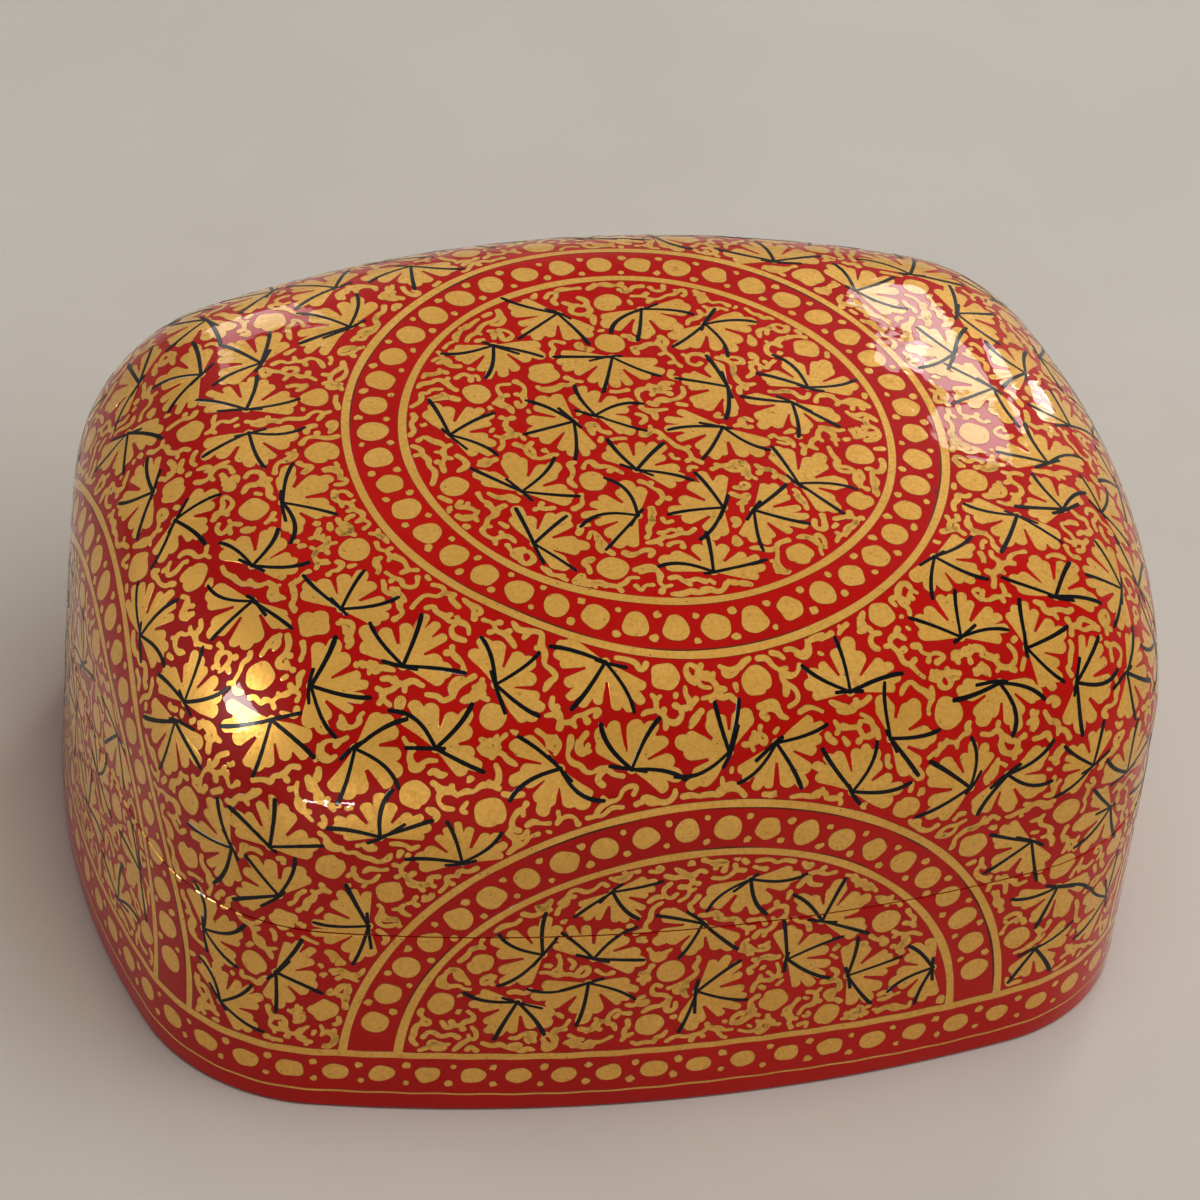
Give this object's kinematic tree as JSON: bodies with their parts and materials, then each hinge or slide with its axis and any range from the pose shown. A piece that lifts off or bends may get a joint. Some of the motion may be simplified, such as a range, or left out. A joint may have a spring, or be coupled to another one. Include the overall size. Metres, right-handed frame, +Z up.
{
  "type": "lidded papier mache box",
  "caption": "Cushion-shaped keepsake box with a domed lift-off lid, red lacquer with gold leaf and dot decoration, resting on a flat underside.",
  "frame": {"origin": "centre of the underside, on the table", "axes": "+X along the long side, +Y towards the back long side, +Z up, the way the lid lifts"},
  "size_m": [0.15, 0.1156, 0.0767],
  "materials": {
    "red_lacquer": "gloss",
    "paper_pulp": "satin",
    "pulp_board": "satin",
    "collar_board": "satin",
    "gold_paint": "satin",
    "black_paint": "gloss"
  },
  "bodies": {
    "base": {"base_coat": "red_lacquer", "base_wall": "paper_pulp", "base_floor": "pulp_board", "locating_collar": "collar_board"},
    "lid": {"lid_coat": "red_lacquer", "lid_shell": "paper_pulp"}
  },
  "joints": [
    {"name": "lid_lift", "type": "slide", "parent": "base", "child": "lid", "axis": [0, 0, 1], "range_m": [0, 0.08]}
  ]
}
